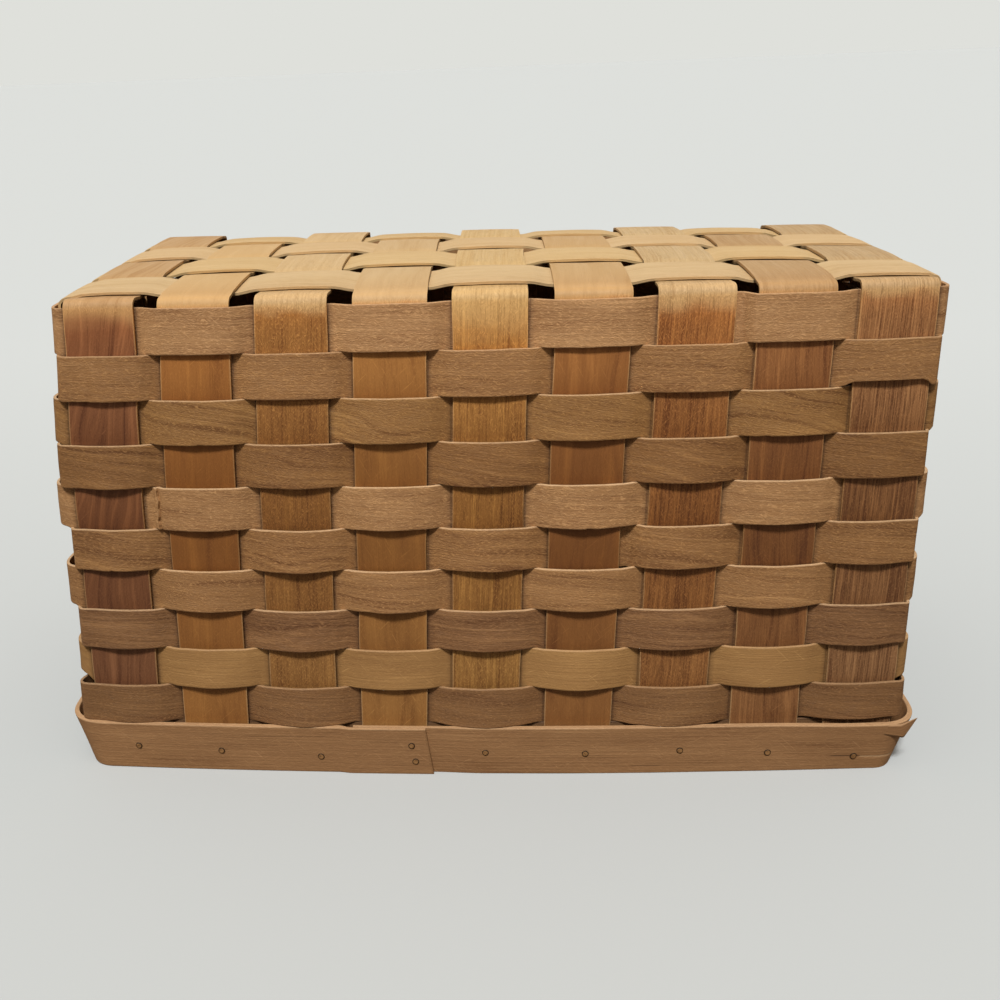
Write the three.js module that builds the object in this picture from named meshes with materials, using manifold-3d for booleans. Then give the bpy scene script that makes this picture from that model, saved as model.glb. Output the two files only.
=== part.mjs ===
// A rectangular woodchip basket: flat splints of split wood woven in a plain weave, with a nailed rim.
// It stands as it is stored, upside down: the rim's lip on z = 0 and the woven base on top.
// Millimetres. +X runs along the length, the front long wall faces -Y, +Z is up.
import * as THREE from "three";
import { mergeVertices } from "three/addons/utils/BufferGeometryUtils.js";
import Module from "manifold-3d";

// The woven strips
const SPLINT_WIDTH = 23.5;
const SPLINT_THICKNESS = 1;
const WEAVER_WIDTH = 14.7;
const WEAVER_THICKNESS = 1;
const WEAVE_CLEARANCE = 0.2;
const WEAVER_BULGE = 0.6;
const BASE_BULGE = 0.3;

// How many strips there are
const COLUMNS = 9;
const LENGTHWISE = 4;
const ROWS = 10;

// Gaps between the strips, at the lip and at the base, because the walls flare towards the rim
const COLUMN_GAP_LIP = 9.05;
const COLUMN_GAP_BASE = 8.05;
const SIDE_GAP_LIP = 8.5;
const SIDE_GAP_BASE = 7.5;
const ROW_GAP = 0.3;

// The gaps after this column are narrower at the base by so much each
const SQUEEZED_AFTER = 7;
const SQUEEZE_BASE = 1.3;

// Room between the outermost strips and the corners, and how far weavers loop out beside these
const FRONT_ROOM_LIP = 10.2;
const FRONT_ROOM_BASE = 7.2;
const LEFT_SLACK_LIP = 3.5;
const LEFT_SLACK_BASE = 2.6;
const RIGHT_SLACK_LIP = 1.5;
const RIGHT_SLACK_BASE = 1.2;
const LEFT_CORNER_LOOP = 2.4;
const RIGHT_CORNER_LOOP = 0.4;
const CROSSING_MARGIN = 0.5;

// The shape that hand work gives the walls and the base. The lean is to the right, per millimetre up.
const WALL_BOW_LIP = 4.2;
const WALL_BOW_BASE = 3;
const LEAN = 0.026;
const BASE_CROWN = 2.2;
const BACK_RIGHT_SINK = 2.7;

// Bends over the base's edges and corners of the hoops, and how many facets each has
const BEND_RADIUS = 3;
const BEND_STEPS = 4;
const CORNER_STEPS = 4;

// Laps: where a weaver's two ends meet, and how far apart the meeting places of two rows are
const LAP_TAIL = 1.5;
const LAP_LEAD = 0.5;
const LAP_ROW = 5;
const LAP_STEP = 5;

// The rim: one band outside the strips and one inside, nailed through every upright end
const RIM_HEIGHT = 19.2;
const OUTER_BAND_THICKNESS = 1.8;
const INNER_BAND_THICKNESS = 1.8;
const BAND_CLEARANCE = 0.2;
const BAND_LEAN_SIDE = 0.9;
const BAND_LEAN_END = 4.5;
const LIP_TUCK = 2;
const STRIP_END_INSET = 1;
const BAND_LAP_COLUMN = 4;
const BAND_LAP_LEAD = 3;
const BAND_LAP_TAIL = 1;
const BAND_LAP_STEP = 0.6;
const INNER_BUTT_SHIFT = 6;
const INNER_BUTT_GAP = 1;

// The nails
const NAIL_SHANK_RADIUS = 0.6;
const NAIL_HOLE_CLEARANCE = 0.3;
const NAIL_HEAD_RADIUS = 1.3;
const NAIL_HEAD_HEIGHT = 0.4;
const NAIL_HEAD_BEVEL = 0.2;
const NAIL_SEAT = 0.1;
const NAIL_SIDES = 6;
const NAIL_HEIGHT = 8.5;

// Sizes that follow from the ones above
const WEAVE_OFFSET = SPLINT_THICKNESS / 2 + WEAVE_CLEARANCE + WEAVER_THICKNESS / 2;
const LAP_OFFSET = WEAVE_OFFSET + WEAVER_THICKNESS + WEAVE_CLEARANCE;
const BASE_OFFSET = (SPLINT_THICKNESS + WEAVE_CLEARANCE) / 2;
const ROW_PITCH = WEAVER_WIDTH + ROW_GAP;
const ROWS_TOP = RIM_HEIGHT + ROWS * ROW_PITCH;
const CROSSINGS = 2 * (COLUMNS + LENGTHWISE);
const OUTER_BAND_OFFSET = SPLINT_THICKNESS / 2 + BAND_CLEARANCE + OUTER_BAND_THICKNESS / 2;
const INNER_BAND_OFFSET = SPLINT_THICKNESS / 2 + BAND_CLEARANCE + INNER_BAND_THICKNESS / 2;
const BAND_LAP_THICKNESS = (OUTER_BAND_THICKNESS + BAND_LAP_STEP - BAND_CLEARANCE) / 2;

// How far a bend has dropped below the base where it meets the top edge of a weaver inside it
function bendDrop() {
  const innerRadius = BEND_RADIUS - SPLINT_THICKNESS / 2;
  const across = innerRadius - WEAVE_CLEARANCE;
  return BEND_RADIUS - Math.sqrt(Math.max(0, innerRadius ** 2 - across ** 2));
}
const BASE_Z = ROWS_TOP + bendDrop() + WEAVE_CLEARANCE;

// The walls: every size runs straight from its value at the lip to its value at the base
const between = (lip, base, z) => lip + ((base - lip) * z) / BASE_Z;
const rimTuck = (z) => LIP_TUCK * Math.max(0, 1 - z / RIM_HEIGHT);
const columnGap = (z) => between(COLUMN_GAP_LIP, COLUMN_GAP_BASE, z);
const sideGap = (z) => between(SIDE_GAP_LIP, SIDE_GAP_BASE, z);

// Centre of an upright of a long wall, and of an end wall, at height z.
// The last columns stand a little closer together at the base.
function columnX(column, z) {
  const squeeze = Math.max(0, column - SQUEEZED_AFTER) * between(0, SQUEEZE_BASE, z);
  const turns = column - (COLUMNS + 1) / 2;
  return turns * (SPLINT_WIDTH + columnGap(z)) + LEAN * z - squeeze;
}
function sideY(splint, z) {
  return (splint - (LENGTHWISE + 1) / 2) * (SPLINT_WIDTH + sideGap(z));
}

// Where the end walls stand: just outside the first and the last column
function leftX(z) {
  const room = SPLINT_WIDTH / 2 + WEAVE_OFFSET + CROSSING_MARGIN - rimTuck(z);
  return columnX(1, z) - room - between(LEFT_SLACK_LIP, LEFT_SLACK_BASE, z);
}
function rightX(z) {
  const room = SPLINT_WIDTH / 2 + WEAVE_OFFSET + CROSSING_MARGIN - rimTuck(z);
  return columnX(COLUMNS, z) + room + between(RIGHT_SLACK_LIP, RIGHT_SLACK_BASE, z);
}

// Half the depth between the long walls where they meet the end walls
function halfDepth(z) {
  return sideY(LENGTHWISE, z) + SPLINT_WIDTH / 2 + between(FRONT_ROOM_LIP, FRONT_ROOM_BASE, z);
}

// How far along the basket x lies: -1 at the left end wall, 1 at the right end wall
function lengthShare(x, z) {
  return (2 * x - leftX(z) - rightX(z)) / (rightX(z) - leftX(z));
}

// The basket has sunk towards its back right corner: there every height is a little less
function settled(x, y, z) {
  const share = ((1 + lengthShare(x, z)) / 2) * ((1 + y / halfDepth(z)) / 2);
  return new THREE.Vector3(x, y, z * (1 - (BACK_RIGHT_SINK / BASE_Z) * share));
}

// A point on a wall, `out` millimetres outside the middle of its uprights. Long walls bow outwards.
function wallPoint(side, along, z, out) {
  if (side === "right") return settled(rightX(z) + out, along, z);
  if (side === "left") return settled(leftX(z) - out, along, z);
  const hump = 1 - lengthShare(along, z) ** 2;
  const y = halfDepth(z) + between(WALL_BOW_LIP, WALL_BOW_BASE, z) * hump + out;
  return settled(along, side === "front" ? -y : y, z);
}

// The base is crowned a little: highest in its middle, level with the wall at its edges
function basePoint(x, y, lift) {
  const acrossLength = 1 - lengthShare(x, BASE_Z) ** 2;
  const acrossDepth = 1 - (y / (halfDepth(BASE_Z) + WALL_BOW_BASE)) ** 2;
  const crown = BASE_CROWN * Math.max(0, acrossLength) * Math.max(0, acrossDepth);
  return settled(x, y, BASE_Z + crown + lift);
}

// Points of a rounded corner between start and end, without the two themselves
function cornerPoints(start, corner, end, steps) {
  return new THREE.QuadraticBezierCurve3(start, corner, end).getPoints(steps).slice(1, -1);
}

// One edge line of a strip moved sideways by `distance`, square to `axis`, with mitred corners
function offsetRail(points, axis, distance) {
  const last = points.length - 1;
  const normalAfter = (i) => points[i + 1].clone().sub(points[i]).cross(axis).normalize();
  return points.map((point, i) => {
    const after = normalAfter(Math.min(i, last - 1));
    const before = normalAfter(Math.max(i - 1, 0));
    const mitre = before.clone().add(after).divideScalar(1 + before.dot(after));
    return point.clone().addScaledVector(mitre, distance);
  });
}

// The closed solid between four edge lines that run side by side, each the next one round
function solidBetween(rails) {
  const count = rails[0].length;
  const positions = rails.flat().flatMap((p) => [p.x, p.y, p.z]);
  const indices = [];
  const at = (rail, i) => (rail % rails.length) * count + i;
  for (let i = 0; i < count - 1; i += 1) {
    for (let rail = 0; rail < rails.length; rail += 1) {
      const corners = [at(rail, i), at(rail, i + 1), at(rail + 1, i + 1), at(rail + 1, i)];
      indices.push(corners[0], corners[1], corners[2], corners[0], corners[2], corners[3]);
    }
  }
  const last = count - 1;
  indices.push(at(0, 0), at(1, 0), at(2, 0), at(0, 0), at(2, 0), at(3, 0));
  indices.push(at(0, last), at(2, last), at(1, last), at(0, last), at(3, last), at(2, last));
  const geometry = new THREE.BufferGeometry();
  geometry.setAttribute("position", new THREE.Float32BufferAttribute(positions, 3));
  geometry.setIndex(indices);
  return facingOut(geometry);
}

// A strip of wood between two edge lines of its middle, `thickness` thick, as one closed solid
function stripGeometry(railA, railB, axis, thickness) {
  return solidBetween([
    offsetRail(railA, axis, thickness / 2),
    offsetRail(railB, axis, thickness / 2),
    offsetRail(railB, axis, -thickness / 2),
    offsetRail(railA, axis, -thickness / 2),
  ]);
}

// Turns every face round when the solid is inside out
function facingOut(geometry) {
  const place = geometry.attributes.position;
  const index = geometry.index.array;
  const corner = [0, 1, 2].map(() => new THREE.Vector3());
  let volume = 0;
  for (let i = 0; i < index.length; i += 3) {
    corner.forEach((c, k) => c.fromBufferAttribute(place, index[i + k]));
    volume += corner[0].dot(corner[1].clone().cross(corner[2]));
  }
  if (volume < 0) {
    for (let i = 0; i < index.length; i += 3) {
      [index[i + 1], index[i + 2]] = [index[i + 2], index[i + 1]];
    }
  }
  return geometry;
}

// A transverse splint: up the front wall, over the base and down the back wall.
// On the base it passes over and under the lengthwise splints in turn.
function transverseRail(column, edge) {
  const x = (z) => columnX(column, z) + (edge * SPLINT_WIDTH) / 2;
  const top = x(BASE_Z);
  const wall = (side, z) => wallPoint(side, x(z), z, 0);
  const bend = (side) => {
    const low = wall(side, BASE_Z - BEND_RADIUS);
    const corner = wall(side, BASE_Z);
    const y = corner.y - Math.sign(corner.y) * BEND_RADIUS;
    const inner = basePoint(top, y, 0);
    corner.z = inner.z;
    return [low, ...cornerPoints(low, corner, inner, BEND_STEPS), inner];
  };
  const weave = [];
  for (let splint = 1; splint <= LENGTHWISE; splint += 1) {
    const over = (column + splint) % 2 === 1 ? 1 : -1;
    for (const place of [-1, 0, 1]) {
      const y = sideY(splint, BASE_Z) + place * (SPLINT_WIDTH / 2 + CROSSING_MARGIN);
      const lift = over * (BASE_OFFSET + (place === 0 ? BASE_BULGE : 0));
      weave.push(basePoint(top, y, lift));
    }
  }
  const front = [wall("front", STRIP_END_INSET), ...bend("front")];
  const back = [...bend("back").reverse(), wall("back", STRIP_END_INSET)];
  return [...front, ...weave, ...back];
}

// A lengthwise splint: up the left end wall, along the base and down the right end wall
function lengthwiseRail(splint, edge) {
  const y = (z) => sideY(splint, z) + (edge * SPLINT_WIDTH) / 2;
  const top = y(BASE_Z);
  const room = WEAVE_OFFSET - WEAVE_CLEARANCE;
  const wall = (side, z) => wallPoint(side, y(z), z, 0);
  const bend = (side) => {
    const low = wall(side, BASE_Z - BEND_RADIUS);
    const corner = wall(side, BASE_Z);
    const slack = side === "left" ? LEFT_SLACK_BASE : RIGHT_SLACK_BASE;
    const x = corner.x + (side === "left" ? 1 : -1) * Math.min(BEND_RADIUS, room + slack);
    const inner = basePoint(x, top, 0);
    corner.z = inner.z;
    return [low, ...cornerPoints(low, corner, inner, BEND_STEPS), inner];
  };
  const weave = [];
  for (let column = 1; column <= COLUMNS; column += 1) {
    const over = (column + splint) % 2 === 0 ? 1 : -1;
    for (const place of [-1, 0, 1]) {
      const x = columnX(column, BASE_Z) + place * (SPLINT_WIDTH / 2 + CROSSING_MARGIN);
      const lift = over * (BASE_OFFSET + (place === 0 ? BASE_BULGE : 0));
      weave.push(basePoint(x, top, lift));
    }
  }
  const leg = (side) => [wall(side, STRIP_END_INSET), wall(side, RIM_HEIGHT)];
  const left = [...leg("left"), ...bend("left")];
  const right = [...bend("right").reverse(), ...leg("right").reverse()];
  return [...left, ...weave, ...right];
}

// The uprights in the order in which a hoop meets them, round from the front wall's left end
function crossing(turn) {
  const place = ((turn % CROSSINGS) + CROSSINGS) % CROSSINGS;
  if (place < COLUMNS) return { side: "front", column: place + 1, way: 1 };
  const right = place - COLUMNS;
  if (right < LENGTHWISE) return { side: "right", splint: right + 1, way: 1 };
  const back = right - LENGTHWISE;
  if (back < COLUMNS) return { side: "back", column: COLUMNS - back, way: -1 };
  return { side: "left", splint: LENGTHWISE - (back - COLUMNS), way: -1 };
}

// Distance along its wall of the point `shift` past the middle of an upright
function alongWall(upright, z, shift) {
  const middle = upright.column ? columnX(upright.column, z) : sideY(upright.splint, z);
  return middle + upright.way * shift;
}

// One edge line of a hoop, at height z, through stations { upright, shift, out }.
// Where two stations lie on different walls, the line rounds the corner between them.
function hoopRail(stations, z) {
  const points = [];
  stations.forEach((station, i) => {
    const { upright, shift, out } = station;
    const here = wallPoint(upright.side, alongWall(upright, z, shift), z, out);
    const before = i > 0 ? stations[i - 1] : null;
    if (before && before.upright.side !== upright.side) {
      const last = points[points.length - 1];
      const corner = last.clone().lerp(here, 0.5);
      if (upright.splint) corner.set(here.x, last.y, corner.z);
      else corner.set(last.x, here.y, corner.z);
      points.push(...cornerPoints(last, corner, here, CORNER_STEPS));
    }
    points.push(here);
  });
  return points;
}

// How far a weaver loops out beside a corner of the basket: most in the middle rows
function cornerLoop(row, upright, neighbour) {
  if (!upright.splint || neighbour.side === upright.side) return 0;
  const most = upright.side === "left" ? LEFT_CORNER_LOOP : RIGHT_CORNER_LOOP;
  return most * Math.sin((Math.PI * (row - 0.5)) / ROWS) ** 2;
}

// A weaver: one row of the wall. It passes outside and inside the uprights in turn,
// and its two ends lap behind one upright.
function weaverStations(row) {
  const first = (((row - LAP_ROW) * LAP_STEP) % CROSSINGS) + CROSSINGS;
  const reach = SPLINT_WIDTH / 2 + CROSSING_MARGIN;
  const start = crossing(first);
  const stations = [
    { upright: start, shift: -SPLINT_WIDTH / 2 - LAP_LEAD, out: -LAP_OFFSET },
    { upright: start, shift: reach + LAP_TAIL, out: -LAP_OFFSET },
  ];
  for (let turn = first + 1; turn < first + CROSSINGS; turn += 1) {
    const upright = crossing(turn);
    const outside = (turn + row) % 2 === 0;
    const out = outside ? WEAVE_OFFSET : -WEAVE_OFFSET;
    const loop = (next) => (outside ? cornerLoop(row, upright, crossing(next)) : 0);
    stations.push({ upright, shift: -reach, out: out + loop(turn - 1) });
    if (outside) stations.push({ upright, shift: 0, out: out + WEAVER_BULGE });
    stations.push({ upright, shift: reach, out: out + loop(turn + 1) });
  }
  stations.push({ upright: start, shift: -reach, out: -WEAVE_OFFSET });
  stations.push({ upright: start, shift: SPLINT_WIDTH / 2 + LAP_TAIL, out: -WEAVE_OFFSET });
  return stations;
}

function weaverGeometry(row) {
  const top = ROWS_TOP - (row - 1) * ROW_PITCH - ROW_GAP / 2;
  const stations = weaverStations(row);
  const lower = hoopRail(stations, top - WEAVER_WIDTH);
  const upper = hoopRail(stations, top);
  return stripGeometry(lower, upper, new THREE.Vector3(0, 0, 1), WEAVER_THICKNESS);
}

// How far the middle of the outer band stands outside the uprights at height z
function outerBandOut(upright, z) {
  const lean = upright.column ? BAND_LEAN_SIDE : BAND_LEAN_END;
  return OUTER_BAND_OFFSET + (lean * z) / RIM_HEIGHT;
}

// One face of the outer band, 1 its outer and -1 its inner face, at height z. The band starts
// behind its own lap, runs round the rim and ends outside its start. Both ends are thinned.
function outerBandStations(z, face) {
  const lap = BAND_LAP_COLUMN - 1;
  const start = crossing(lap);
  const reach = SPLINT_WIDTH / 2;
  const out = (upright) => outerBandOut(upright, z) + (face * OUTER_BAND_THICKNESS) / 2;
  const thinning = OUTER_BAND_THICKNESS - BAND_LAP_THICKNESS;
  const under = out(start) - (face > 0 ? thinning : 0);
  const over = out(start) + BAND_LAP_STEP + (face < 0 ? thinning : 0);
  const lapEnd = reach + BAND_LAP_TAIL;
  const stations = [
    { upright: start, shift: -reach - BAND_LAP_LEAD, out: under },
    { upright: start, shift: lapEnd + CROSSING_MARGIN, out: under },
  ];
  for (let turn = lap + 1; turn < lap + CROSSINGS; turn += 1) {
    const upright = crossing(turn);
    const opening = crossing(turn - 1).side !== upright.side;
    const closing = crossing(turn + 1).side !== upright.side;
    const beforeLap = turn === lap + CROSSINGS - 1;
    if (opening) stations.push({ upright, shift: -reach - CROSSING_MARGIN, out: out(upright) });
    if (upright.column) stations.push({ upright, shift: 0, out: out(upright) });
    if (closing || beforeLap) {
      stations.push({ upright, shift: reach + CROSSING_MARGIN, out: out(upright) });
    }
  }
  stations.push({ upright: start, shift: -reach - BAND_LAP_LEAD - CROSSING_MARGIN, out: over });
  stations.push({ upright: start, shift: lapEnd, out: over });
  return stations;
}

// One face of the inner band, which lines the rim. Its two ends butt in the middle of the back wall.
function innerBandStations(z, face) {
  const out = -INNER_BAND_OFFSET + (face * INNER_BAND_THICKNESS) / 2;
  const middle = COLUMNS + LENGTHWISE + Math.floor((COLUMNS - 1) / 2);
  const start = crossing(middle);
  const reach = SPLINT_WIDTH / 2;
  const stations = [{ upright: start, shift: INNER_BUTT_SHIFT + INNER_BUTT_GAP, out }];
  for (let turn = middle + 1; turn < middle + CROSSINGS; turn += 1) {
    const upright = crossing(turn);
    const opening = crossing(turn - 1).side !== upright.side;
    const closing = crossing(turn + 1).side !== upright.side;
    if (opening) stations.push({ upright, shift: -reach, out });
    if (upright.column && !opening && !closing) stations.push({ upright, shift: 0, out });
    if (closing) stations.push({ upright, shift: reach, out });
  }
  stations.push({ upright: start, shift: INNER_BUTT_SHIFT, out });
  return stations;
}

// A band of the rim between its outer and its inner face
function bandGeometry(stationsAt) {
  const rail = (z, face) => hoopRail(stationsAt(z, face), z);
  return solidBetween([rail(0, 1), rail(RIM_HEIGHT, 1), rail(RIM_HEIGHT, -1), rail(0, -1)]);
}

// Where a nail goes in: the middle of the outer band's outer face, and the way it points
function nailPlace(upright, shift, height, lapped) {
  const step = lapped ? BAND_LAP_STEP : 0;
  const at = (z) => {
    const out = outerBandOut(upright, z) + OUTER_BAND_THICKNESS / 2 + step;
    return wallPoint(upright.side, alongWall(upright, z, shift), z, out);
  };
  const lower = at(0);
  const upper = at(RIM_HEIGHT);
  const along = wallPoint(upright.side, alongWall(upright, 0, shift + 1), 0, 0)
    .sub(wallPoint(upright.side, alongWall(upright, 0, shift), 0, 0));
  const normal = along.cross(upper.clone().sub(lower)).normalize();
  const head = lower.clone().lerp(upper, height / RIM_HEIGHT);
  const depth = outerBandOut(upright, height) + OUTER_BAND_THICKNESS / 2 + step
    + INNER_BAND_OFFSET + INNER_BAND_THICKNESS / 2;
  const turn = new THREE.Quaternion().setFromUnitVectors(new THREE.Vector3(0, 1, 0), normal);
  return { head, turn, depth };
}

// A nail: a round head on the band and a straight shank through band, splint and band
function nailGeometry(depth) {
  const profile = [
    new THREE.Vector2(0, -depth),
    new THREE.Vector2(NAIL_SHANK_RADIUS, -depth),
    new THREE.Vector2(NAIL_SHANK_RADIUS, NAIL_SEAT),
    new THREE.Vector2(NAIL_HEAD_RADIUS, NAIL_SEAT),
    new THREE.Vector2(NAIL_HEAD_RADIUS - NAIL_HEAD_BEVEL, NAIL_SEAT + NAIL_HEAD_HEIGHT),
    new THREE.Vector2(0, NAIL_SEAT + NAIL_HEAD_HEIGHT),
  ];
  return new THREE.LatheGeometry(profile, NAIL_SIDES);
}

// Nails of the front wall: shift from the middle of each upright and height above the lip.
// The lap has a second nail below the one in its upright.
const FRONT_NAILS = [
  [3.5, 9.8], [1.9, 8.6], [6, 6.9], [6.3, 12.3], [0.1, 9.1], [2.9, 8.6], [3.5, 9.5], [1.8, 8], [-0.6, 5.9],
];
const LAP_NAIL = [7.7, 5.6];

function listNails() {
  const nails = [];
  for (let turn = 0; turn < CROSSINGS; turn += 1) {
    const upright = crossing(turn);
    const front = upright.side === "front";
    const [shift, height] = (front && FRONT_NAILS[upright.column - 1]) || [0, NAIL_HEIGHT];
    const lapped = front && upright.column === BAND_LAP_COLUMN;
    const number = upright.column || upright.splint;
    nails.push({ name: `nail_${upright.side}_${number}`, upright, shift, height, lapped });
  }
  const [shift, height] = LAP_NAIL;
  nails.push({ name: "nail_lap", upright: crossing(BAND_LAP_COLUMN - 1), shift, height, lapped: true });
  return nails.map((nail) => ({
    ...nail,
    ...nailPlace(nail.upright, nail.shift, nail.height, nail.lapped),
  }));
}

// Booleans for the nail holes
const wasm = await Module();
wasm.setup();

function toManifold(geometry) {
  const bare = geometry.clone();
  bare.deleteAttribute("normal");
  bare.deleteAttribute("uv");
  const merged = mergeVertices(bare, 1e-4);
  return new wasm.Manifold(new wasm.Mesh({
    numProp: 3,
    vertProperties: new Float32Array(merged.attributes.position.array),
    triVerts: new Uint32Array(merged.index.array),
  }));
}

function fromManifold(solid) {
  const mesh = solid.getMesh();
  const geometry = new THREE.BufferGeometry();
  geometry.setAttribute("position", new THREE.BufferAttribute(mesh.vertProperties, 3));
  geometry.setIndex(new THREE.BufferAttribute(mesh.triVerts, 1));
  return geometry;
}

// The hole that one nail needs, from outside its head to past its point
function nailHole(nail) {
  const radius = NAIL_SHANK_RADIUS + NAIL_HOLE_CLEARANCE;
  const length = 2 * (nail.depth + NAIL_HOLE_CLEARANCE);
  const hole = new THREE.CylinderGeometry(radius, radius, length, NAIL_SIDES);
  hole.applyQuaternion(nail.turn);
  return toManifold(hole.translate(nail.head.x, nail.head.y, nail.head.z));
}

function withHoles(geometry, nails) {
  const drilled = nails.reduce((solid, nail) => solid.subtract(nailHole(nail)), toManifold(geometry));
  return fromManifold(drilled);
}

// Finish of each strip: split wood is never twice the same colour
const TRANSVERSE_COLOURS = [
  0x9a6a4b, 0xb47a42, 0xa67b45, 0xb28046, 0xb0874e, 0xa66d3f, 0xa3764a, 0x975f40, 0x9f7148,
];
const LENGTHWISE_COLOURS = [0xd3ad74, 0xd2aa6c, 0xd6af78, 0xcfa86e];
const WEAVER_COLOURS = [
  0xa67c5b, 0x98754f, 0x9b7650, 0x926c4a, 0xb38b5e, 0x9d7850, 0xa47f54, 0x8d694a, 0xad8651, 0x896749,
];
const OUTER_BAND_COLOUR = 0x9c754e;
const INNER_BAND_COLOUR = 0xa98257;
const NAIL_COLOUR = 0x9b8152;

const wood = (color) => new THREE.MeshStandardMaterial({ color, roughness: 0.72, metalness: 0 });
const steel = new THREE.MeshStandardMaterial({ color: NAIL_COLOUR, roughness: 0.4, metalness: 0.8 });
const colourOf = (colours, number) => colours[(number - 1) % colours.length];

const basket = new THREE.Group();

function addPiece(name, geometry, material) {
  const mesh = new THREE.Mesh(geometry, material);
  mesh.name = name;
  basket.add(mesh);
  return mesh;
}

const nails = listNails();

for (let column = 1; column <= COLUMNS; column += 1) {
  const splint = stripGeometry(
    transverseRail(column, -1),
    transverseRail(column, 1),
    new THREE.Vector3(-1, 0, 0),
    SPLINT_THICKNESS,
  );
  const own = nails.filter((nail) => nail.upright.column === column);
  const finish = wood(colourOf(TRANSVERSE_COLOURS, column));
  addPiece(`transverse_splint_${column}`, withHoles(splint, own), finish);
}

for (let number = 1; number <= LENGTHWISE; number += 1) {
  const splint = stripGeometry(
    lengthwiseRail(number, -1),
    lengthwiseRail(number, 1),
    new THREE.Vector3(0, 1, 0),
    SPLINT_THICKNESS,
  );
  const own = nails.filter((nail) => nail.upright.splint === number);
  const finish = wood(colourOf(LENGTHWISE_COLOURS, number));
  addPiece(`lengthwise_splint_${number}`, withHoles(splint, own), finish);
}

for (let row = 1; row <= ROWS; row += 1) {
  addPiece(`weaver_${row}`, weaverGeometry(row), wood(colourOf(WEAVER_COLOURS, row)));
}

addPiece("outer_rim_band", withHoles(bandGeometry(outerBandStations), nails), wood(OUTER_BAND_COLOUR));
addPiece("inner_rim_band", withHoles(bandGeometry(innerBandStations), nails), wood(INNER_BAND_COLOUR));

for (const nail of nails) {
  const mesh = addPiece(nail.name, nailGeometry(nail.depth), steel);
  mesh.quaternion.copy(nail.turn);
  mesh.position.copy(nail.head);
}

export default basket;
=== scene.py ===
import math
from functools import partial

import bpy
import numpy as np
from mathutils import Matrix, Vector


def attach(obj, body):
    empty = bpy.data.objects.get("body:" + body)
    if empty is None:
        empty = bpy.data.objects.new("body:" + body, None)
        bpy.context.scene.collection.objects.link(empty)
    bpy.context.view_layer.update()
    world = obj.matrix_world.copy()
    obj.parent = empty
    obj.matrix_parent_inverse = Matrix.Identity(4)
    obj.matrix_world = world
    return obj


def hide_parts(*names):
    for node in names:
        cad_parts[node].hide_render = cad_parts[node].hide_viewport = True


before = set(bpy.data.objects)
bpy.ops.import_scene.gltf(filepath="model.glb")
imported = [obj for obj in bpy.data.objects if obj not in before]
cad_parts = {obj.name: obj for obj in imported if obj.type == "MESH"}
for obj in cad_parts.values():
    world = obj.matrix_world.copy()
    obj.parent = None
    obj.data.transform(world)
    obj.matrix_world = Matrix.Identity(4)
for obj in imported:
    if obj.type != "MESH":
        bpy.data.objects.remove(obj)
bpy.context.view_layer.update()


# Camera: a phone camera held a little above the basket, square to its front wall, with a slight
# roll and a small sideways shift, as the basket lies left of the middle of the lens.
CAMERA_PLACE = (0.00539, -0.40271, 0.23982)
PAN, TILT, ROLL, UPRIGHT = (4.039, "Z"), (-22.193, "X"), (2.286, "Y"), (90, "X")
SENSOR_WIDTH, CAMERA_LENS, CAMERA_SHIFT, NEAREST_SEEN = 36, 39.277, 0.075, 0.01


def placed(name, data):
    """A new object in the scene."""
    made = bpy.data.objects.new(name, data)
    bpy.context.scene.collection.objects.link(made)
    return made


lens = bpy.data.cameras.new("camera")
lens.sensor_width, lens.lens = SENSOR_WIDTH, CAMERA_LENS
lens.shift_x, lens.clip_start = CAMERA_SHIFT, NEAREST_SEEN
camera = placed("camera", lens)
aim = Matrix.Identity(3)
for degrees, axis in (PAN, TILT, ROLL, UPRIGHT):
    aim = aim @ Matrix.Rotation(math.radians(degrees), 3, axis)
camera.matrix_world = Matrix.LocRotScale(Vector(CAMERA_PLACE), aim, None)
bpy.context.scene.camera = camera


# Transverse splints: nine strips split from the log, 23.5 mm wide and 1 mm thick. Each goes up
# the front wall, over the base, where it passes over and under the lengthwise splints in turn,
# and down the back wall. The damp wood was bent sharply over the base's edges, which bruised it.
MM = 0.001
COLUMNS, LENGTHWISE, ROWS = 9, 4, 10
CROSSINGS = 2 * (COLUMNS + LENGTHWISE)
FRONT, RIGHT, BACK, LEFT = range(4)
SPLINT_WIDTH, SPLINT_THICKNESS, BEND_RADIUS = 23.5, 1.0, 3.0
HALF_SPLINT = SPLINT_WIDTH / 2
RIM_HEIGHT, ROW_PITCH, WEAVE_RISE, CLEARANCE = 19.2, 15.0, 2.0209, 0.2
ROWS_TOP = RIM_HEIGHT + ROWS * ROW_PITCH
BASE_Z = ROWS_TOP + WEAVE_RISE + CLEARANCE
STRIP_END_INSET, CROSSING_MARGIN, STRIP_STEP = 1.0, 0.5, 1.4
REACH = HALF_SPLINT + CROSSING_MARGIN
# Sizes at the lip and at the base: gaps between uprights and at the corners, the long walls'
# bow, and how much closer the last two columns are
COLUMN_GAP, SIDE_GAP, LONG_WALL_GAP = (9.05, 8.05), (8.5, 7.5), (10.2, 7.2)
LEFT_GAP, RIGHT_GAP, BOW, SQUEEZE = (3.5, 2.6), (1.5, 1.2), (4.2, 3), (0, 1.3)
LEAN, END_OFFSET, RIM_TUCK = 0.026, 13.45, 2
SINK, DRAWN_IN, BASE_CROWN = 2.7, 2.6, 2.2
# How far a splint's middle rises at the crossings of the base: at their edges, over and under
EDGE_LIFT, CREST, TROUGH = 0.58, 0.84, 1.15


def between(size, z):
    """A size at height z: it runs straight from its value at the lip to its value at the base."""
    lip, base = size
    return lip + (base - lip) * z / BASE_Z


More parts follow.
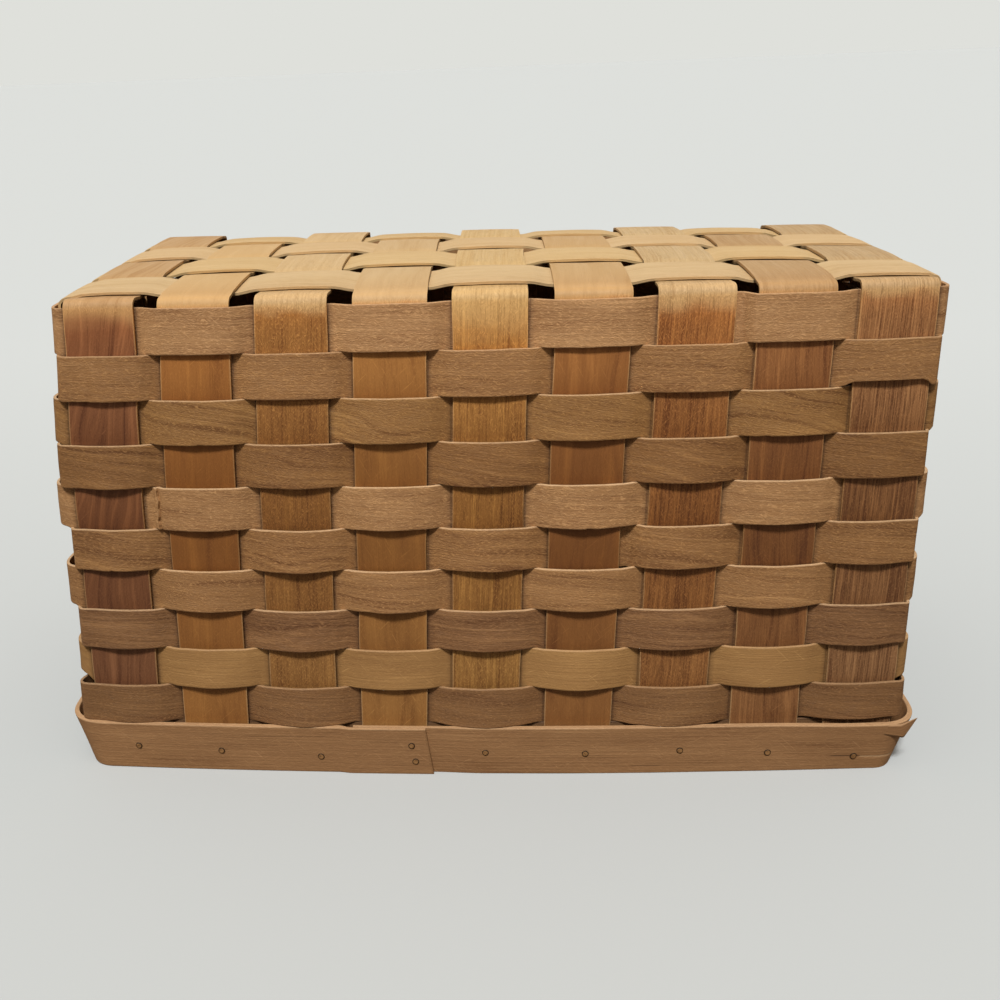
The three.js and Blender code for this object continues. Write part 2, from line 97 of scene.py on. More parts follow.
def rim_tuck(z):
    """How far the end walls draw in at the rim: most at the lip, nothing from its top on."""
    return RIM_TUCK * np.maximum(0, 1 - z / RIM_HEIGHT)


def column_x(column, z):
    """Middle of an upright of a long wall: evenly spaced, leaning right, the last two closer."""
    squeeze = np.maximum(0, column - 7) * between(SQUEEZE, z)
    return (column - 5) * (SPLINT_WIDTH + between(COLUMN_GAP, z)) + LEAN * z - squeeze


def side_y(splint, z):
    """Middle of an upright of an end wall: evenly spaced about the middle."""
    return (splint - 2.5) * (SPLINT_WIDTH + between(SIDE_GAP, z))


def left_x(z):
    return column_x(1, z) - (END_OFFSET - rim_tuck(z)) - between(LEFT_GAP, z)


def right_x(z):
    return column_x(9, z) + (END_OFFSET - rim_tuck(z)) + between(RIGHT_GAP, z)


def half_depth(z):
    return side_y(LENGTHWISE, z) + HALF_SPLINT + between(LONG_WALL_GAP, z)


def length_share(x, z):
    """Where x lies along the basket: -1 at the left end wall, 1 at the right one."""
    return (2 * x - left_x(z) - right_x(z)) / (right_x(z) - left_x(z))


def kept_height(x, y, z):
    """Share of its height that a point keeps: the basket has sunk to its back right corner."""
    return 1 - SINK / BASE_Z * ((1 + length_share(x, z)) / 2 * (1 + y / half_depth(z)) / 2)


def settled(x, y, z):
    """A point after the basket has sunk. The left end is also drawn in at the base, by the power
    1.5 of the share of the length, easing off over the upper three rows."""
    drawn = DRAWN_IN * ease((z - 112) / 60) * np.maximum(0, -length_share(x, z)) ** 1.5
    return np.stack(np.broadcast_arrays(x + drawn, y, z * kept_height(x, y, z)), -1)


def wall_point(side, along, z, out):
    """A point `out` outside the middle of a wall's uprights. The long walls bow outwards: most
    in their middle, in proportion to one less the square of the share of the length."""
    hump = 1 - length_share(along, z) ** 2
    depth = half_depth(z) + between(BOW, z) * hump + out
    x = np.where(side == RIGHT, right_x(z) + out, np.where(side == LEFT, left_x(z) - out, along))
    y = np.where(side == FRONT, -depth, np.where(side == BACK, depth, along))
    return settled(x, y, z)


def base_point(x, y, lift):
    """A point on the base, which is crowned: a parabola along times one across."""
    along = np.maximum(0, 1 - length_share(x, BASE_Z) ** 2)
    across = np.maximum(0, 1 - (y / (half_depth(BASE_Z) + BOW[1])) ** 2)
    return settled(x, y, BASE_Z + BASE_CROWN * along * across + lift)


def ease(share):
    """Rises smoothly from 0 to 1 while share does: three squares less two cubes."""
    share = np.clip(share, 0, 1)
    return share * share * (3 - 2 * share)


def smooth_through(at, knots, heights, flat=()):
    """A smooth line through knots that never swings past them. In each gap it is the cubic with
    the slopes at both knots, and a knot's slope is the harmonic mean of its neighbours' slopes,
    or 0 where these differ in sign, at the ends and at the knots numbered in `flat`."""
    knots, heights = np.asarray(knots, float), np.asarray(heights, float)
    gap = np.diff(knots)
    rise = np.diff(heights) / gap
    slope = np.zeros(len(knots))
    both = rise[:-1] * rise[1:]
    mean = 2 * both / np.where(both > 0, rise[:-1] + rise[1:], 1)
    slope[1:-1] = np.where(both > 0, mean, 0)
    slope[list(flat)] = 0
    part = np.clip(np.searchsorted(knots, at, side="right") - 1, 0, len(gap) - 1)
    t = np.clip((at - knots[part]) / gap[part], 0, 1)
    bend = t * (1 - t) * gap[part] * (slope[part] * (1 - t) - slope[part + 1] * t)
    return heights[part] + (heights[part + 1] - heights[part]) * ease(t) + bend


def wander(at, step, seed):
    """Hand work's unevenness, from -1 to 1: a random height every `step`, eased to the next."""
    heights = np.random.default_rng(seed).uniform(-1, 1, 4099)
    place = np.asarray(at, float) / step + 1000
    low = np.floor(place).astype(int)
    part = ease(place - low)
    return heights[low % 4099] * (1 - part) + heights[(low + 1) % 4099] * part


def edge_wander(along, across, step, seed):
    """The same along a strip, with the two edges each by itself."""
    return np.where(across > 0, wander(along, step, seed), wander(along, step, seed + 100))


def rippled(along, across, step_along, step_across, seed):
    """Unevenness over a surface, from -1 to 1: random heights on a grid, eased both ways."""
    heights = np.random.default_rng(seed).uniform(-1, 1, (1031, 61))
    u, v = np.broadcast_arrays(along / step_along + 100, across / step_across + 20)
    i, j = np.floor(u).astype(int), np.floor(v).astype(int)
    p, q = ease(u - i), ease(v - j)
    near, far = (heights[i % 1031, line % 61] * (1 - p) + heights[(i + 1) % 1031, line % 61] * p
                 for line in (j, j + 1))
    return near * (1 - q) + far * q


BY_EDGE = [0, 0.1, 0.3, 0.5]


def lines_across(width, count, extra=()):
    """Places across a strip, from edge to edge, closer together by the two edges."""
    by_edge = [*BY_EDGE, 0.9]
    middle = np.linspace(1.6, width - 1.6, count)
    places = np.concatenate([by_edge, middle, extra, width - np.array(by_edge)])
    return np.unique(np.round(places, 4)) - width / 2


def fullness(across, width):
    """Share of the thickness left where the edges are rubbed round: 1 inside, 0.82 at the edge."""
    return np.interp(width / 2 - np.abs(across), BY_EDGE, [0.82, 0.94, 0.99, 1])


def length_along(middle):
    """Millimetres along the strip's middle line, from its first point."""
    line = middle[:, middle.shape[1] // 2]
    return np.concatenate([[0], np.cumsum(np.linalg.norm(np.diff(line, axis=0), axis=1))])


def skin_faces(count, around):
    """Four-cornered faces between `count` rings of `around` points each, then over both ends,
    from side to side. Also the ring and the place where each face between rings starts, and the
    places where those over an end do."""
    i, k = (grid.ravel() for grid in np.mgrid[0 : count - 1, 0:around])
    after = (k + 1) % around
    sides = np.stack([i * around + k, (i + 1) * around + k,
                      (i + 1) * around + after, i * around + after], -1)
    j = np.arange(around // 2 - 1)
    cap = np.stack([j, j + 1, around - 2 - j, around - 1 - j], -1)
    return np.concatenate([sides, cap, cap[:, ::-1] + (count - 1) * around]), i, k, j


def split_strip(name, middle, across, half, relief=0, aside=0, slide=0, marks=None,
                edges=(0.8, 0.8)):
    """A strip as one closed skin. `middle` is its grid of points along and across, halfway
    through the wood. First the points move by `slide` along, `aside` across and `relief` out.
    The faces lie `half` to either side of them, along the cross product of the grid's two
    slopes, and the grid's edges and ends join them. The map `grain` holds the metres along and
    round the strip, `cut` says how pale the sawn and frayed edges are, from `edges` at the two
    edges to nothing 0.5 mm inside, and each mark becomes an attribute. Nothing goes below the
    table."""
    shape = middle.shape[:2]

    def unit(way):
        return way / np.linalg.norm(way, axis=2, keepdims=True)

    def spread(values):
        return np.broadcast_to(np.asarray(values, float), shape)[..., None]

    ahead, sideways = unit(np.gradient(middle, axis=0)), unit(np.gradient(middle, axis=1))
    normal = unit(np.cross(ahead, sideways))
    moved = middle + ahead * spread(slide) + sideways * spread(aside) + normal * spread(relief)
    normal = unit(np.cross(np.gradient(moved, axis=0), np.gradient(moved, axis=1)))
    outer, inner = moved + normal * spread(half), moved - normal * spread(half)
    rings = np.concatenate([outer, inner[:, ::-1]], axis=1)
    rings[..., 2] = np.maximum(rings[..., 2], 0)
    around = rings.shape[1]
    faces, i, k, j = skin_faces(*rings.shape[:2])

    from_low, from_high = across - across[0], across[-1] - across
    far_edge, width = 2 * np.max(np.abs(half)), from_low[-1]
    round_it = np.concatenate([from_low, width + far_edge + from_low, [2 * (width + far_edge)]])
    u = length_along(middle)
    side_u = u[np.stack([i, i + 1, i + 1, i], -1)]
    side_v = round_it[np.stack([k, k, k + 1, k + 1], -1)]
    cap_u = from_low[np.stack([j, j + 1, j + 1, j], -1)]
    cap_v = np.broadcast_to([0.0, 0.0, far_edge, far_edge], cap_u.shape)
    grain = np.stack([np.concatenate([side_u, cap_u, cap_u]),
                      np.concatenate([side_v, cap_v, cap_v])], -1) * MM

    frayed = [1, 0.8, 0.2, 0]
    cut = np.maximum(edges[0] * np.interp(from_low, BY_EDGE, frayed),
                     edges[1] * np.interp(from_high, BY_EDGE, frayed))
    fields = {"cut": cut, "stain_and_shade": 0.0, "shade": 1.0, **(marks or {})}
    fields = {key: np.broadcast_to(value, shape) for key, value in fields.items()}
    fields = {key: np.concatenate([f, f[:, ::-1]], axis=1) for key, f in fields.items()}
    on_face = ~np.isin(k, (around // 2 - 1, around - 1))
    smooth = np.concatenate([on_face, np.zeros(2 * len(j), bool)])
    return wooden_piece(name, rings.reshape(-1, 3), faces, grain, fields, smooth)


def wooden_piece(name, points, faces, grain, fields, smooth):
    """Puts points in millimetres and four-cornered faces into a mesh. The faces are turned round
    when the volume under them, a sixth of the sum of triple products, comes out negative."""
    a, b, c, d = (points[faces[:, n]] for n in range(4))
    volume = np.sum(a * np.cross(b, c)) + np.sum(a * np.cross(c, d))
    if volume < 0:
        faces, grain = faces[:, ::-1], grain[:, ::-1]
    mesh = bpy.data.meshes.new(name)
    mesh.vertices.add(len(points))
    mesh.vertices.foreach_set("co", (points * MM).astype(np.float32).ravel())
    mesh.loops.add(faces.size)
    mesh.loops.foreach_set("vertex_index", faces.astype(np.int32).ravel())
    mesh.polygons.add(len(faces))
    mesh.polygons.foreach_set("loop_start", np.arange(0, faces.size, 4, dtype=np.int32))
    mesh.polygons.foreach_set("use_smooth", smooth)
    mesh.uv_layers.new(name="grain").data.foreach_set("uv", grain.astype(np.float32).ravel())
    for key, values in fields.items():
        field = mesh.attributes.new(key, "FLOAT", "POINT")
        field.data.foreach_set("value", values.astype(np.float32).ravel())
    mesh.update(calc_edges=True)
    return placed(name, mesh)


def linear(colour):
    """A colour written as 0xRRGGBB, as the shader needs it."""
    parts = [((colour >> move) & 255) / 255 for move in (16, 8, 0)]
    return (*[p / 12.92 if p < 0.04045 else ((p + 0.055) / 1.055) ** 2.4 for p in parts], 1)


def toned(colour, factors):
    """The colour with each part multiplied, kept below white."""
    return (*[min(0.95, part * factor) for part, factor in zip(colour, factors)], 1)


def feed(tree, node, inputs):
    """Gives a node's inputs, by name or place, a value or another node's output."""
    for key, value in inputs.items():
        if isinstance(value, bpy.types.NodeSocket):
            tree.links.new(value, node.inputs[key])
        else:
            node.inputs[key].default_value = value


def add(tree, kind, inputs, **settings):
    """Adds a node with its settings and inputs, and gives its outputs."""
    made = tree.nodes.new("ShaderNode" + kind)
    for key, value in settings.items():
        setattr(made, key, value)
    feed(tree, made, inputs)
    return made.outputs


def calc(tree, operation, *values):
    return add(tree, "Math", dict(enumerate(values)), operation=operation)[0]


def mixed(tree, share, first, second, blend="MIX"):
    """Two colours mixed: a Mix node whose colour sockets are numbers 6 and 7."""
    return add(tree, "Mix", {0: share, 6: first, 7: second}, data_type="RGBA",
               blend_type=blend)[2]


def picked(tree, value, low, high):
    """0 below low and 1 above high, smooth between."""
    return add(tree, "MapRange", {0: value, 1: low, 2: high},
               interpolation_type="SMOOTHSTEP")[0]


def attribute(tree, name):
    return add(tree, "Attribute", {}, attribute_name=name)["Fac"]


WOOD_SOCKETS = {
    "INPUT": {"Vector": ["Grain"], "Color": ["Light", "Middle", "Dark", "Fresh"],
              "Float": ["Seed", "Slant", "Ring Spacing", "Rings", "Streaks", "Fuzz",
                        "Fibre Spacing", "Cut Edge", "Bruise", "Stain And Shade"]},
    "OUTPUT": {"Color": ["Color"], "Float": ["Tone", "Height"]},
}
# Colour of knots, and of stains, which on some pieces are painted shade
KNOT_COLOUR, STAIN_AND_SHADE_COLOUR = 0x2A1A10, 0x2B1407


def split_wood_group():
    """Split wood: yearly rings that slant across the strip, long streaks along it, short pale
    fibres that stand up from it, dark pores, soft mottling, sawn edges and stains, which on some
    pieces are painted shade. Their sum is the tone, which runs from dark through middle to
    light."""
    tree = bpy.data.node_groups.new("split_wood", "ShaderNodeTree")
    for way, kinds in WOOD_SOCKETS.items():
        for kind, key in ((kind, key) for kind, keys in kinds.items() for key in keys):
            tree.interface.new_socket(key, in_out=way, socket_type="NodeSocket" + kind)
    given = tree.nodes.new("NodeGroupInput").outputs

    plus, minus, times, over, most, least = (partial(calc, tree, operation) for operation in (
        "ADD", "SUBTRACT", "MULTIPLY", "DIVIDE", "MAXIMUM", "MINIMUM"))

    def centred(value, size):
        return times(minus(value, 0.5), size)

    scaled = add(tree, "VectorMath", {0: given["Grain"], "Scale": 1 / MM}, operation="SCALE")
    u, v, _ = add(tree, "SeparateXYZ", {0: scaled[0]})
    seed, fuzz = given["Seed"], given["Fuzz"]

    def noise(along, across, move, detail, roughness=0.5):
        place = add(tree, "CombineXYZ", {0: along, 1: across, 2: plus(seed, move)})[0]
        return add(tree, "TexNoise", {"Vector": place, "Scale": 1.0, "Detail": detail,
                                      "Roughness": roughness})[0]

    def stretched(along, across, move, detail, roughness=0.5, place=v):
        return noise(times(u, along), times(place, across), move, detail, roughness)

    def scratches(turn, move):
        """Fine pale scratches that run at an angle to the grain, here and there."""
        ahead = plus(times(u, math.cos(turn)), times(v, math.sin(turn)))
        aside = minus(times(v, math.cos(turn)), times(u, math.sin(turn)))
        return picked(tree, noise(times(ahead, 0.12), times(aside, 2.4), move, 1.0), 0.71, 0.75)

    swerve = centred(stretched(0.022, 0.06, 0.0, 1.0), 15.0)
    slanted = plus(v, times(u, given["Slant"]))
    ring_place = over(plus(slanted, swerve), given["Ring Spacing"])
    rings = stretched(0.008, 1.0, 7.0, 3.0, 0.65, ring_place)
    streaks = stretched(0.018, 1.5, 13.0, 2.0, 0.6, slanted)
    crinkled = plus(slanted, centred(stretched(0.2, 0.25, 19.0, 2.0), 3.6))
    fibres = noise(over(u, given["Fibre Spacing"]), times(crinkled, 3.6), 23.0, 2.0, 0.65)
    pores = stretched(0.14, 4.0, 31.0, 1.0, 0.5, slanted)
    mottle = stretched(0.025, 0.16, 41.0, 2.0)
    tone = 0.5
    for part in (times(centred(rings, 3.4), given["Rings"]),
                 times(centred(streaks, 3.6), given["Streaks"]),
                 centred(mottle, 1.1), times(centred(fibres, 1.5), fuzz)):
        tone = plus(tone, part)
    raised = times(picked(tree, fibres, 0.56, 0.62), fuzz)
    pits = times(picked(tree, pores, 0.6, 0.7), plus(0.12, times(given["Streaks"], 0.6)))
    scratched = most(scratches(0.5, 53.0), scratches(-0.8, 61.0))
    cell = add(tree, "CombineXYZ", {0: u, 1: v, 2: times(seed, 40.0)})[0]
    spot = add(tree, "TexVoronoi", {"Vector": cell, "Scale": 0.045})
    few = picked(tree, add(tree, "SeparateColor", {0: spot["Color"]})[0], 0.5, 0.6)
    knots = times(few, minus(1.0, picked(tree, spot["Distance"], 0.012, 0.028)))
    edge = most(times(given["Cut Edge"], plus(0.95, centred(fibres, 1.6))),
                times(given["Bruise"], picked(tree, fibres, 0.45, 0.6)))
    colour = mixed(tree, picked(tree, tone, -0.1, 0.5), given["Dark"], given["Middle"])
    for share, laid_over in (
            (picked(tree, tone, 0.5, 1.15), given["Light"]),
            (least(raised, 1.0), given["Light"]), (pits, given["Dark"]),
            (times(scratched, 0.55), given["Light"]), (times(knots, 0.8), linear(KNOT_COLOUR)),
            (least(edge, 1.0), given["Fresh"]), (given["Stain And Shade"], linear(STAIN_AND_SHADE_COLOUR))):
        colour = mixed(tree, share, colour, laid_over)
    height = minus(plus(times(streaks, 0.5), times(fibres, plus(fuzz, 0.15))), times(pits, 0.6))
    feed(tree, tree.nodes.new("NodeGroupOutput"),
         {"Color": colour, "Tone": tone, "Height": height})
    return tree


SPLIT_WOOD = split_wood_group()
LIGHT_TONE, DARK_TONE = (1.5, 1.62, 1.75), (0.56, 0.47, 0.4)
BASE_LIGHT, BASE_DARK, BASE_FRESH = (1.1, 1.12, 1.14), (0.86, 0.8, 0.73), (1.1, 1.1, 1.1)
FRESH, FRESH_ON_WALL = (0.68, 0.45, 0.25, 1.0), (0.6, 0.34, 0.14, 1.0)
# Tints of painted light and shade that the mark `grey` mixes: warm below the bend and in crevices,
# grey near the rim
WARM_PAINTED_TINT, GREY_PAINTED_TINT, PLAIN = (1.0, 0.88, 0.7, 1.0), (1.0, 1.12, 1.3, 1.0), (1.0, 1.0, 1.0, 1.0)
FIBRE_HEIGHT = 0.00025


def new_material(name):
    """A material with nodes, its node tree and its shader."""
    made = bpy.data.materials.new(name)
    made.use_nodes = True
    return made, made.node_tree, made.node_tree.nodes["Principled BSDF"]


def wood_material(name, colour, seed, slant, rings, streaks, fuzz, spacing=2.0, fibre=2.0,
                  base_colour=None):
    """Split wood in the piece's own colour, times the piece's mark `shade`, which holds painted
    light and shade. Where its mark `base` is 1 it has the paler colour of the base, where `bend`
    is, the bruised fibres show paler still, and the mark `grey`, painted light and shade too,
    turns its tint from warm to grey."""
    made, tree, shader = new_material(name)
    body, tint = linear(colour), PLAIN
    tones = {"Light": toned(body, LIGHT_TONE), "Middle": body,
             "Dark": toned(body, DARK_TONE), "Fresh": FRESH}
    if base_colour is not None:
        pale, on_base = linear(base_colour), attribute(tree, "base")
        there = {"Light": toned(pale, BASE_LIGHT), "Middle": pale,
                 "Dark": toned(pale, BASE_DARK), "Fresh": toned(pale, BASE_FRESH)}
        tones["Fresh"] = FRESH_ON_WALL
        tones = {key: mixed(tree, on_base, tones[key], there[key]) for key in tones}
        tint = mixed(tree, attribute(tree, "grey"), WARM_PAINTED_TINT, GREY_PAINTED_TINT)
    marks = {"Bruise": "bend", "Cut Edge": "cut", "Stain And Shade": "stain_and_shade"}
    wood = add(tree, "Group", {
        "Grain": add(tree, "UVMap", {}, uv_map="grain")[0],
        "Seed": seed, "Slant": slant, "Ring Spacing": spacing, "Rings": rings,
        "Streaks": streaks, "Fuzz": fuzz, "Fibre Spacing": fibre, **tones,
        **{key: attribute(tree, mark) for key, mark in marks.items()},
    }, node_tree=SPLIT_WOOD)
    shaded = mixed(tree, 1.0, wood["Color"], attribute(tree, "shade"), "MULTIPLY")
    feed(tree, shader, {
        "Base Color": mixed(tree, 1.0, shaded, tint, "MULTIPLY"),
        "Roughness": add(tree, "MapRange", {0: wood["Tone"], 3: 0.72, 4: 0.52})[0],
        "Specular IOR Level": 0.35,
        "Normal": add(tree, "Bump", {"Height": wood["Height"], "Distance": FIBRE_HEIGHT,
                                     "Strength": 1.0})[0]})
    return made


def finished(piece, material, node):
    """The piece takes its material and the place of the CAD node that it stands for."""
    piece.data.materials.append(material)
    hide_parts(node)
    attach(piece, "root")


def bent(t, start, corner, stop):
    """A bend: a quadratic curve from start to stop, drawn to the corner, at t from 0 to 1."""
    return start * (1 - t) ** 2 + corner * 2 * t * (1 - t) + stop * t**2


def base_lift(place, middles, over, ends):
    """Height over the base's middle surface: a smooth line through the edges and the middle of
    each crossing, up where the strip lies over the other and down where it lies under."""
    knots, heights = [ends[0]], [0]
    for middle, is_over in zip(middles, over):
        sign, peak = (1, CREST) if is_over else (-1, TROUGH)
        knots += [middle - REACH, middle, middle + REACH]
        heights += [sign * EDGE_LIFT, sign * peak, sign * EDGE_LIFT]
    return smooth_through(place, knots + [ends[1]], heights + [0])


def splint_middle(wall, on_base, axis, bends, middles, over):
    """A splint's middle surface: up one wall, round a bend, over the base along `axis`, round a
    bend and down the other wall. `wall` gives its points by side and height, `on_base` by place
    and lift, and `bends` says how far inside each wall the base begins."""
    tall = np.arange(STRIP_END_INSET, BASE_Z - BEND_RADIUS, STRIP_STEP)[:, None]
    inside_bend = np.linspace(0, 1, 14)[1:-1, None, None]
    runs, starts = [], []
    for side, room in bends:
        low, corner = wall(side, BASE_Z - BEND_RADIUS), wall(side, BASE_Z)
        inner = on_base(corner[:, axis] + room, 0)
        corner[:, 2] = inner[:, 2]
        bend = bent(inside_bend, low, corner, inner)
        runs.append(np.concatenate([wall(side, tall), low[None], bend]))
        starts.append(inner[:, axis])
    first, last = starts
    t = np.linspace(0, 1, int((last - first).mean() / STRIP_STEP))[:, None]
    place = first + (last - first) * t
    lift = base_lift(place, middles, over, (first.min() - 0.01, last.max() + 0.01))
    return np.concatenate([runs[0], on_base(place, lift), runs[1][::-1]])


def transverse_middle(column, across):
    """Middle surface of a transverse splint. Across runs from right to left, so that its outside
    faces out."""
    top_x, crossed = column_x(column, BASE_Z) + across, np.arange(1, LENGTHWISE + 1)
    return splint_middle(
        lambda side, z: wall_point(side, column_x(column, z) + across, z, 0),
        lambda y, lift: base_point(top_x, y, lift), 1,
        ((FRONT, BEND_RADIUS), (BACK, -BEND_RADIUS)),
        side_y(crossed, BASE_Z), (column + crossed) % 2 == 1)


def upright_wave(middle, first_turn, second_turn):
    """The weavers push an upright in and out by the clearance: a sine with one half wave to a
    row. It ends at the rim and at the base."""
    z = middle[..., 2]
    half = np.arange(len(z))[:, None] < len(z) / 2
    turn = np.where(half, first_turn, second_turn)
    inside = ease((z - RIM_HEIGHT - 1) / 3) * ease((BASE_Z - BEND_RADIUS - z) / 3)
    way = np.where(turn % 2 == 0, 1, -1)
    return CLEARANCE * way * np.sin(np.pi * ((ROWS_TOP - z) / ROW_PITCH)) * inside


# Heights on a wall, and the painted light, shade and greyness of its splints at each
SHADE_HEIGHTS = [15, 42, 72, 87, 102, 117, 147, 165]
SHADES = [0.96, 0.88, 0.82, 0.69, 0.8, 0.79, 1.2, 1.2]
GREY_HEIGHTS, GREYS = [20, 57, 87, 117, 147, 160], [1, 0.75, 0.37, 0.37, 0.65, 0.5]
# How far painted crevice shade reaches above a weaver, and how far in from its edge the base
# changes
CREVICE_SHADE_HEIGHT, EDGE_SHADE = 2.6, 22


def splint_marks(middle, seed, fade):
    """How the splint's colour changes along it. On the base it is pale, a little less so by the
    edge, and that fades out over the first `fade` millimetres of the wall. The bend has bruised
    it. On the wall, painted light and shade, with a little of the wood's own weathering, make it
    lighter near the base, darkest half way and greyer near the rim, where painted table light
    falls. Painted light makes it lighter and warmer just below the bend, as a rounder bend would
    be lit, and painted shade darkens and warms the crevice above each weaver that holds it."""
    x, y, z = np.moveaxis(middle, -1, 0)
    z = z / kept_height(x, y, z)
    across = np.linspace(-HALF_SPLINT, HALF_SPLINT, middle.shape[1])
    uneven = rippled(length_along(middle)[:, None], across, 3, 4, seed)
    below = np.maximum(0, BASE_Z - z)
    on_wall = ease((below - 1.2) / 1.6)
    base = ease((fade + 1.5 + 1.3 * uneven - below) / fade)
    inset = half_depth(BASE_Z) - np.abs(y)
    base *= 0.78 + 0.22 * ease(inset / EDGE_SHADE)
    bend = 0.6 * np.exp(-(((below - 2.5 - uneven) / 1.3) ** 2))
    # Painted light and shade down the wall, and painted light fading out below the bend
    shade = np.interp(z, SHADE_HEIGHTS, SHADES) + 0.7 * np.exp(-below / fade)
    by_edge = ease(inset / 5) * (1 - ease(inset / EDGE_SHADE))
    above_row = (1 - (ROWS_TOP - z) / ROW_PITCH % 1) * ROW_PITCH
    # Painted shade: darker and warmer in the crevice just above each weaver
    painted_crevice_shade = np.exp(-above_row / CREVICE_SHADE_HEIGHT) * ease((ROWS_TOP - ROW_PITCH - 2 - z) / 2)
    # Painted light below the bend also warms the tint and lightens the base's colour on the wall
    warm = on_wall * np.exp(-((below / (fade + 3)) ** 2))
    return {"base": base, "bend": bend,
            "shade": (shade * (1 - base) + (1 + 0.38 * on_wall) * base)
            * (1 - 0.18 * painted_crevice_shade) * (1 - 0.14 * by_edge),
            "grey": np.interp(z, GREY_HEIGHTS, GREYS) - 0.28 * warm - 0.25 * painted_crevice_shade}


splint_lines = lines_across(SPLINT_WIDTH, 13)


def lay_splint(kind, number, middle, turns, seed, ripple, tear, material, fade=3, curl=0):
    """One splint from its middle surface: pushed in and out by the weavers, a little uneven,
    cupped by a parabola across, and torn along its two edges by `tear`, an amount and a step."""
    along = length_along(middle)[:, None]
    uneven = 0.1 * rippled(along, splint_lines, ripple, 9, seed + number)
    cupped = -0.12 * (splint_lines / HALF_SPLINT) ** 2
    by_edge = np.sign(splint_lines) * ease((np.abs(splint_lines) - 8) / 3.75)
    torn = tear[0] * edge_wander(along, splint_lines, tear[1], seed + 100 + number) * by_edge
    piece = split_strip(f"{kind}_{number}_wood", middle, splint_lines,
                        SPLINT_THICKNESS / 2 * fullness(splint_lines, SPLINT_WIDTH),
                        upright_wave(middle, *turns) + uneven + cupped + curl, torn,
                        marks=splint_marks(middle, seed + 300 + number, fade))
    finished(piece, material, f"{kind}_{number}")


# Colour of each splint on the walls and on the base, the slant of its rings, how much its rings,
# streaks and fibres show, how far apart its rings are and how far the base's colour fades down
TRANSVERSE_WOODS = [
    (0x7A4B2C, 0xAE895B, 0.13, 0.9, 0.15, 0.25, 2.4, 8),
    (0x965F2B, 0xBD9966, 0.02, 0.3, 0.1, 0.2, 5.0, 3),
    (0x966431, 0xC1A172, 0.02, 0.3, 0.35, 0.75, 2.0, 4),
    (0x9D6832, 0xBA9A6C, -0.02, 0.35, 0.1, 0.2, 4.0, 4),
    (0x9F6C34, 0xC09F6B, 0.02, 0.25, 0.5, 0.6, 1.4, 16),
    (0x8C582A, 0xB38F5E, 0.03, 0.4, 0.1, 0.15, 4.0, 3),
    (0x915C2E, 0xB99B6E, 0.02, 0.4, 0.6, 0.7, 1.2, 8),
    (0x86552D, 0xA98659, -0.03, 0.6, 0.3, 0.3, 1.8, 5),
    (0x8A5D37, 0xAE8F64, 0.02, 0.4, 0.9, 0.45, 0.9, 4.5),
]
BACK_EDGE_DROP = 1.5

for column, (colour, pale, *figure, spacing, fade) in enumerate(TRANSVERSE_WOODS, 1):
    middle = transverse_middle(column, -splint_lines)
    if column % 2 == 0:
        back_edge = ease((middle[..., 1] - 48) / 10) * ease((middle[..., 2] - 150) / 20)
        middle[..., 2] -= BACK_EDGE_DROP * back_edge
    material = wood_material(f"transverse_wood_{column}", colour, 3.1 * column, *figure,
                             spacing=spacing, fibre=0.9, base_colour=pale)
    lay_splint("transverse_splint", column, middle, (column - 1, 22 - column), 100, 14,
               (0.22, 17), material, fade)


# Lengthwise splints: four longer strips of the same split wood. Each goes up the left end wall,
# along the base, woven through the transverse splints, and down the right end wall.

# Colour of each splint on the base and on the walls, and how much rings and streaks show
LENGTHWISE_WOODS = [(0xC1A376, 0x92643A, 0.3, 0.35), (0xC1A16F, 0x8C5E34, 0.3, 0.3),
                    (0xC1A173, 0x94673C, 0.25, 0.35), (0xBD9D6C, 0x885932, 0.3, 0.4)]
LAST_CURL = 1.1


def lengthwise_middle(splint, across):
    """Middle surface of a lengthwise splint. Where a corner is tight its bend is too."""
    top_y, crossed = side_y(splint, BASE_Z) + across, np.arange(1, COLUMNS + 1)
    left_room, right_room = (min(BEND_RADIUS, 1.0 + gap[1]) for gap in (LEFT_GAP, RIGHT_GAP))
    return splint_middle(
        lambda side, z: wall_point(side, side_y(splint, z) + across, z, 0),
        lambda x, lift: base_point(x, top_y, lift), 0,
        ((LEFT, left_room), (RIGHT, -right_room)),
        column_x(crossed, BASE_Z), (splint + crossed) % 2 == 0)


for splint, (pale, colour, rings, streaks) in enumerate(LENGTHWISE_WOODS, 1):
    middle = lengthwise_middle(splint, splint_lines)
    curl = -LAST_CURL * ease(splint_lines / HALF_SPLINT) * ease((middle[..., 2] - BASE_Z + 4) / 4)
    material = wood_material(f"lengthwise_wood_{splint}", colour, 50 + 3.7 * splint, 0.015,
                             rings, streaks, 0.3, spacing=1.2, base_colour=pale)
    lay_splint("lengthwise_splint", splint, middle, (26 - splint, splint + 8), 500, 16,
               (0.3, 21), material, curl=curl if splint == LENGTHWISE else 0)


# Weavers: ten thin strips of split wood, 15 mm wide, one to each row of the walls. Each goes
# once round the basket, outside and inside the uprights in turn, and its two ends lap behind an
# upright. Between two uprights it springs outwards, most at its lower edge.
WEAVER_WIDTH, WEAVER_THICKNESS, ROW_GAP = 14.94, 1.0, 0.06
WEAVE_OFFSET, LAP_OFFSET = 1.2, 2.4
BULGE_ABOVE, BULGE_BELOW, BULGE_INSIDE, WEAVER_SAG = 0.9, 1.75, -0.2, 1.1
LAP_ROW, LAP_STEP, LAP_HIDDEN = 5, 5, 0.8
LEFT_CORNER_LOOP, RIGHT_CORNER_LOOP = 2.4, 0.4
LEFT_SWELL = [0, 1.5, 0, 4, 0, 0, 0, 1, 0, 7]
RIGHT_SWELL = [0, 1.5, 0, 0, 0, 0, 0, 1, 1, 4]
